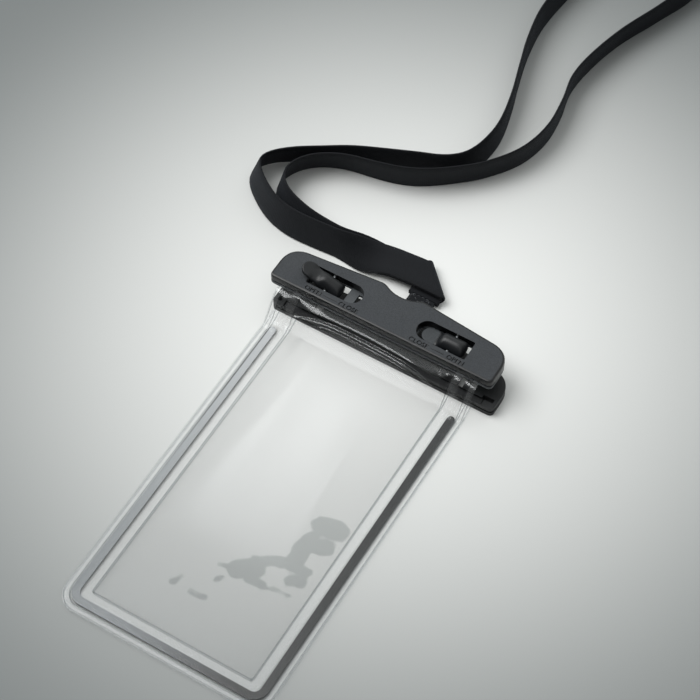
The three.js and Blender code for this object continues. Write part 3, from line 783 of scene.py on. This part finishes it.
def front_film_height(x, y):
    """Height of the front film's lower face, in drawing millimetres."""
    middle = smooth(y, *CHAMBER_RISE)
    sides = smooth(y, *SIDE_RISE)
    across = smooth(abs(x), *SIDE_BLEND)
    base = blend_number(blend_number(across, middle, sides), FRONT_FILM_Z, FRONT_GRIP_Z)
    lip = 0.0
    for lip_y, depth in LIPS:
        bow = lip_y - LIP_BOW * ((x - LIP_MIDDLE_X) / LIP_REACH) ** 2
        lip += depth * math.exp(-((y - bow) / LIP_HALF_WIDTH) ** 2) * (1 - smooth(abs(x), *LIP_FADE))
    return min(base + crease(x, y) - lip, FRONT_GRIP_Z) if y < CREASE_END_Y else base


def film_outline_shift(x, y):
    """Moves a point near the bottom corners in onto the rounded outline."""
    corner_x = FILM_HALF - FILM_CORNER
    corner_y = FILM_BOTTOM + FILM_CORNER
    if abs(x) <= corner_x or y >= corner_y:
        return x, y
    dx = abs(x) - corner_x
    dy = corner_y - y
    far = max(dx, dy)
    shrink = far / math.hypot(dx, dy)
    return math.copysign(corner_x + dx * shrink, x), corner_y - dy * shrink


def edge_distance(x, y):
    """How far a place is inside the film's rounded outline."""
    dx = abs(x) - (FILM_HALF - FILM_CORNER)
    dy = FILM_BOTTOM + FILM_CORNER - y
    if dx > 0 and dy > 0:
        return FILM_CORNER - math.hypot(dx, dy)
    return min(FILM_HALF - abs(x), y - FILM_BOTTOM)


def cling_distance(x, y):
    """How far a place is outside the patches where the film clings to the table."""
    nearest = 100.0
    for x1, y1, x2, y2, radius in CLING_PATCHES:
        along = ((x - x1) * (x2 - x1) + (y - y1) * (y2 - y1)) / ((x2 - x1) ** 2 + (y2 - y1) ** 2)
        along = min(1.0, max(0.0, along))
        away = math.hypot(x - x1 - along * (x2 - x1), y - y1 - along * (y2 - y1)) - radius
        nearest = min(nearest, away)
    hole_x, hole_y, hole_long, hole_wide = CLING_HOLE
    hole = 1.0 - math.hypot((x - hole_x) / hole_long, (y - hole_y) / hole_wide)
    return max(nearest, hole * hole_wide)


def row_place(share, top):
    """Where a row of the grid lies up the bag: nearly half of the rows are close to the clamp."""
    if share < 1 - NEAR_ROWS:
        return blend_number(share / (1 - NEAR_ROWS), FILM_BOTTOM, top - NEAR_LENGTH)
    return blend_number((share - 1 + NEAR_ROWS) / NEAR_ROWS, top - NEAR_LENGTH, top)


def film_sheet(name, top, height_at, step):
    """A film as a fine grid bent to its height at each place, then given its thickness."""
    bpy.ops.object.select_all(action="DESELECT")
    columns = round(2 * FILM_HALF / step)
    rows = round((top - FILM_BOTTOM) / step)
    bpy.ops.mesh.primitive_grid_add(
        x_subdivisions=columns, y_subdivisions=rows, size=2, location=(0, 0, 0),
    )
    sheet = bpy.context.object
    sheet.name = name
    sheet.data.name = name
    for vertex in sheet.data.vertices:
        x = vertex.co.x * FILM_HALF
        y = row_place((vertex.co.y + 1) / 2, top)
        vertex.co = (*film_outline_shift(x, y), 0)
    while sheet.data.uv_layers:
        sheet.data.uv_layers.remove(sheet.data.uv_layers[0])
    film_uv = sheet.data.uv_layers.new(name="film")
    for corner in sheet.data.loops:
        x, y = sheet.data.vertices[corner.vertex_index].co.xy
        film_uv.data[corner.index].uv = (edge_distance(x, y) / 1000, cling_distance(x, y) / 1000)
    for vertex in sheet.data.vertices:
        x, y = vertex.co.xy
        vertex.co = route_point(x, y, height_at(x, y))
    wall = sheet.modifiers.new("wall", "SOLIDIFY")
    wall.thickness = FILM_THICKNESS
    wall.offset = 1.0
    apply_all(sheet)
    select_only(sheet)
    bpy.ops.object.shade_smooth_by_angle(angle=math.radians(50))
    return sheet


def band_share(material, distance, low, high, soft):
    """1 where the distance lies between low and high, with soft ends."""
    rise = add_node(material, "ShaderNodeMapRange", {
        "Value": distance, "From Min": low - soft, "From Max": low + soft,
    }).outputs["Result"]
    fall = add_node(material, "ShaderNodeMapRange", {
        "Value": distance, "From Min": high - soft, "From Max": high + soft, "To Min": 1.0, "To Max": 0.0,
    }).outputs["Result"]
    return add_node(material, "ShaderNodeMath", {0: rise, 1: fall}, operation="MULTIPLY").outputs["Value"]


def clear_film(name, with_cling):
    """Clear PVC: seen through almost unchanged face on, greyer and glossier along its surface."""
    material = new_material(name)
    place = add_node(material, "ShaderNodeTexCoord").outputs["Object"]
    facing = add_node(material, "ShaderNodeLayerWeight", {"Blend": 0.5}).outputs["Facing"]
    edge_on = add_node(material, "ShaderNodeMapRange", {
        "Value": facing, "From Min": 0.45, "From Max": 0.95,
    }, interpolation_type="SMOOTHSTEP").outputs["Result"]
    tint = mix_colours(material, edge_on, "#ffffff", "#7d8284")
    film_place = add_node(material, "ShaderNodeSeparateXYZ", {
        "Vector": add_node(material, "ShaderNodeUVMap", uv_map="film").outputs["UV"],
    })
    from_edge = film_place.outputs["X"]
    if with_cling:
        warp = add_node(material, "ShaderNodeTexNoise", {
            "Vector": place, "Scale": 130.0, "Detail": 2.0,
        }).outputs["Fac"]
        ragged = add_node(material, "ShaderNodeMath", {
            0: warp, 1: 0.0045, 2: film_place.outputs["Y"],
        }, operation="MULTIPLY_ADD").outputs["Value"]
        patch = band_share(material, ragged, -1.0, 0.0021, 0.0005)
        tint = mix_colours(material, patch, tint, "#f0f1f1")
    for line_from, line_to in WELD_LINES:
        line = band_share(material, from_edge, line_from, line_to, 0.0001)
        tint = mix_colours(material, line, tint, "#d3d6d7")
    clear = add_node(material, "ShaderNodeBsdfTransparent", {"Color": tint})
    milky = add_node(material, "ShaderNodeBsdfDiffuse", {"Color": linear("#f6f8f8")})
    outer_band = band_share(material, from_edge, -1.0, 0.0030, 0.0004)
    inner_band = band_share(material, from_edge, 0.0074, CHAMBER_EDGE, 0.0005)
    bands = add_node(material, "ShaderNodeMath", {
        0: outer_band, 1: inner_band,
    }, operation="MAXIMUM").outputs["Value"]
    up_the_bag = add_node(material, "ShaderNodeSeparateXYZ", {"Vector": place}).outputs["Y"]
    near_clamp = add_node(material, "ShaderNodeMapRange", {
        "Value": up_the_bag, "From Min": DRAWING_Y - 0.0125, "From Max": DRAWING_Y - 0.009,
    }).outputs["Result"]
    milkiness = add_node(material, "ShaderNodeMapRange", {
        "Value": near_clamp, "To Min": WELD_HAZE, "To Max": 0.02,
    }).outputs["Result"]
    haze = add_node(material, "ShaderNodeMath", {
        0: bands, 1: milkiness,
    }, operation="MULTIPLY").outputs["Value"]
    see_through = add_node(material, "ShaderNodeMixShader", {
        0: haze, 1: clear.outputs["BSDF"], 2: milky.outputs["BSDF"],
    })
    ripple = add_node(material, "ShaderNodeTexNoise", {
        "Vector": place, "Scale": 90.0, "Detail": 2.0,
    }).outputs["Fac"]
    ripple_bump = add_node(material, "ShaderNodeBump", {
        "Strength": 0.07, "Distance": 0.0004, "Height": ripple,
    })
    in_chamber = add_node(material, "ShaderNodeMapRange", {
        "Value": from_edge, "From Min": CHAMBER_EDGE, "From Max": 0.018,
    }).outputs["Result"]
    handled = add_node(material, "ShaderNodeMath", {
        0: in_chamber, 1: near_clamp,
    }, operation="SUBTRACT").outputs["Value"]
    dulled = add_node(material, "ShaderNodeMapRange", {
        "Value": handled, "To Min": 0.13, "To Max": 0.2,
    }).outputs["Result"]
    gloss = add_node(material, "ShaderNodeBsdfPrincipled", {
        "Base Color": linear("#f7f9fa"),
        "Metallic": 1.0,
        "Roughness": dulled,
        "Normal": ripple_bump.outputs["Normal"],
    })
    grazing = add_node(material, "ShaderNodeLayerWeight", {
        "Blend": 0.5, "Normal": ripple_bump.outputs["Normal"],
    }).outputs["Facing"]
    grazing = add_node(material, "ShaderNodeMath", {0: grazing, 1: 5.0}, operation="POWER").outputs["Value"]
    face_on = add_node(material, "ShaderNodeMapRange", {
        "Value": near_clamp, "To Min": FACE_ON_GLOSS, "To Max": FACE_ON_GLOSS if with_cling else LIP_GLOSS,
    }).outputs["Result"]
    share = add_node(material, "ShaderNodeMath", {
        0: grazing, 1: 0.8, 2: face_on,
    }, operation="MULTIPLY_ADD").outputs["Value"]
    film = add_node(material, "ShaderNodeMixShader", {
        0: share, 1: see_through.outputs["Shader"], 2: gloss.outputs["BSDF"],
    })
    let_through = add_node(material, "ShaderNodeBsdfTransparent", {"Color": linear("#fdfdfd")})
    shadow_ray = add_node(material, "ShaderNodeLightPath").outputs["Is Shadow Ray"]
    lit = add_node(material, "ShaderNodeMixShader", {
        0: shadow_ray, 1: film.outputs["Shader"], 2: let_through.outputs["BSDF"],
    })
    add_node(material, "ShaderNodeOutputMaterial", {"Surface": lit.outputs["Shader"]})
    return material


front_pvc = clear_film("clear_soft_pvc", False)
rear_pvc = clear_film("clear_soft_pvc_on_table", True)
rear_sheet = film_sheet("rear_film_sheet", REAR_FILM_TOP, rear_film_height, 1.0)
dress(rear_sheet, "rear_half", "film", rear_pvc)
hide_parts("rear_film")
front_sheet = film_sheet("front_film_sheet", FRONT_FILM_TOP, front_film_height, 0.8)
front_sheet.data.materials.append(front_pvc)
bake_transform(front_sheet)
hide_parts("front_film")

# Border strip: the grey PVC strip welded between the films along both sides and the bottom, drawn with a
# thin dark line along its outer edge in the upper half. Its colour is painted light: paler on the left arm,
# where the window's light and its reflection in the film fall, and darker towards the bottom there as that
# light falls off. The right arm is painted near-black as shade.
STRIP_MIDDLE_INSET = 5.1
STRIP_HALF = 1.8
STRIP_OUTSIDE = (FILM_HALF - STRIP_MIDDLE_INSET + STRIP_HALF) / 1000
border = welded_copy("border_strip", "grey_border_strip")
round_edges(border, 0.00018, sharp=40)
tinted_pvc = new_material("tinted_pvc_grey")
place = add_node(tinted_pvc, "ShaderNodeTexCoord").outputs["Object"]
fleck = add_node(tinted_pvc, "ShaderNodeTexNoise", {
    "Vector": place, "Scale": 900.0, "Detail": 2.0,
}).outputs["Fac"]
strip_place = add_node(tinted_pvc, "ShaderNodeSeparateXYZ", {"Vector": place})
# Painted light: the left arm is painted grey, paler up the bag as the light falls off. The right arm is
# painted as near-black shade.
up_the_bag = add_node(tinted_pvc, "ShaderNodeMapRange", {
    "Value": strip_place.outputs["Y"], "From Min": -0.085, "From Max": 0.06,
}).outputs["Result"]
right_arm_painted_shade = add_node(tinted_pvc, "ShaderNodeMapRange", {
    "Value": strip_place.outputs["X"], "From Min": -0.035, "From Max": 0.035,
}, interpolation_type="SMOOTHSTEP").outputs["Result"]
left_arm_painted_light = mix_colours(tinted_pvc, up_the_bag, "#6a6f72", "#b9bcbe")
base = mix_colours(tinted_pvc, right_arm_painted_shade, left_arm_painted_light, "#050607")
off_centre = add_node(tinted_pvc, "ShaderNodeMath", {
    0: strip_place.outputs["X"], 1: -DRAWING_X,
}).outputs["Value"]
off_centre = add_node(tinted_pvc, "ShaderNodeMath", {0: off_centre}, operation="ABSOLUTE").outputs["Value"]
# A thin dark line along the strip's outer edge, in the upper half only.
outer_edge_band = add_node(tinted_pvc, "ShaderNodeMapRange", {
    "Value": off_centre, "From Min": STRIP_OUTSIDE - 0.0006, "From Max": STRIP_OUTSIDE - 0.0004,
}).outputs["Result"]
upper_half = add_node(tinted_pvc, "ShaderNodeMapRange", {
    "Value": strip_place.outputs["Y"], "From Min": -0.03, "From Max": 0.02,
}).outputs["Result"]
edge_line = add_node(tinted_pvc, "ShaderNodeMath", {
    0: outer_edge_band, 1: upper_half,
}, operation="MULTIPLY").outputs["Value"]
base = mix_colours(tinted_pvc, edge_line, base, "#15181a")
faint_fleck = add_node(tinted_pvc, "ShaderNodeMath", {
    0: fleck, 1: 0.06,
}, operation="MULTIPLY").outputs["Value"]
flecked = mix_colours(tinted_pvc, faint_fleck, base, "#9ea2a4")
pvc = add_node(tinted_pvc, "ShaderNodeBsdfPrincipled", {
    "Base Color": flecked,
    "Roughness": 0.28,
    "IOR": 1.53,
})
add_node(tinted_pvc, "ShaderNodeOutputMaterial", {"Surface": pvc.outputs["BSDF"]})
dress(border, "rear_half", "border", tinted_pvc)
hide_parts("border_strip")

# Sewn end of the lanyard: the two ends of the ribbon brought round the lug's bar and sewn together. It has
# the ribbon's weave, with the ribs running across it.
SEWN_END_X = 0.0035
sewn = welded_copy("lanyard_sewn_end", "ribbon_sewn_end")
round_edges(sewn, 0.0004, segments=3)
while sewn.data.uv_layers:
    sewn.data.uv_layers.remove(sewn.data.uv_layers[0])
sewn_uv = sewn.data.uv_layers.new(name="ribbon")
sewn_middle = DRAWING_X + SEWN_END_X
for polygon in sewn.data.polygons:
    for loop_index in polygon.loop_indices:
        corner = sewn.data.vertices[sewn.data.loops[loop_index].vertex_index].co
        run_y = corner.y if abs(polygon.normal.z) > 0.5 else corner.z
        sewn_uv.data[loop_index].uv = (run_y, corner.x - sewn_middle)
dress(sewn, "rear_half", "ribbon", weave)
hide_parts("lanyard_sewn_end")

# Stitches: a box with a cross, sewn through both plies of the ribbon in dark bonded polyester thread. Each
# stitch arches out of the ribbon, and the thread's twist shows as a fine mottle.
STITCH_HALF = 0.00075
STITCH_GAUGE = 0.00017
STITCH_PITCH = 0.0021
STITCH_ARCH = 1.2
BOX_HALF = 0.0044
BOX_NEAR = -0.0016
BOX_FAR = -0.0078
tail_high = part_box("lanyard_sewn_end")[1]
box_corners = [
    Vector((sewn_middle + across, tail_high.y + back, tail_high.z))
    for across, back in (
        (-BOX_HALF, BOX_FAR), (BOX_HALF, BOX_FAR), (BOX_HALF, BOX_NEAR), (-BOX_HALF, BOX_NEAR),
    )
]
seams = list(zip(box_corners, box_corners[1:] + box_corners[:1]))
seams += [(box_corners[0], box_corners[2]), (box_corners[1], box_corners[3])]
stitches = []
for seam_from, seam_to in seams:
    count = round((seam_to - seam_from).length / STITCH_PITCH)
    heading = math.atan2(seam_to.y - seam_from.y, seam_to.x - seam_from.x)
    for k in range(count):
        bpy.ops.object.select_all(action="DESELECT")
        bpy.ops.mesh.primitive_uv_sphere_add(segments=8, ring_count=6, radius=1, location=(0, 0, 0))
        stitch = bpy.context.object
        for vertex in stitch.data.vertices:
            x, y, z = vertex.co
            vertex.co = (x * STITCH_HALF, y * STITCH_GAUGE, (z - STITCH_ARCH * x * x) * STITCH_GAUGE)
        stitch.rotation_euler.z = heading
        stitch.location = seam_from.lerp(seam_to, (k + 0.5) / count)
        bpy.ops.object.transform_apply(location=True, rotation=True, scale=True)
        stitches.append(stitch)
bpy.ops.object.select_all(action="DESELECT")
for stitch in stitches:
    stitch.select_set(True)
bpy.context.view_layer.objects.active = stitches[0]
bpy.ops.object.join()
stitching = bpy.context.object
stitching.name = "ribbon_stitching"
bpy.ops.object.shade_smooth()
bonded_thread = new_material("bonded_polyester_thread")
place = add_node(bonded_thread, "ShaderNodeTexCoord").outputs["Object"]
plies = add_node(bonded_thread, "ShaderNodeTexNoise", {
    "Vector": place, "Scale": 4000.0, "Detail": 1.0,
}).outputs["Fac"]
thread = add_node(bonded_thread, "ShaderNodeBsdfPrincipled", {
    "Base Color": mix_colours(bonded_thread, plies, "#202327", "#3a3e44"),
    "Roughness": 0.5,
    "Sheen Weight": 0.2,
})
add_node(bonded_thread, "ShaderNodeOutputMaterial", {"Surface": thread.outputs["BSDF"]})
dress(stitching, "rear_half", "ribbon", bonded_thread)
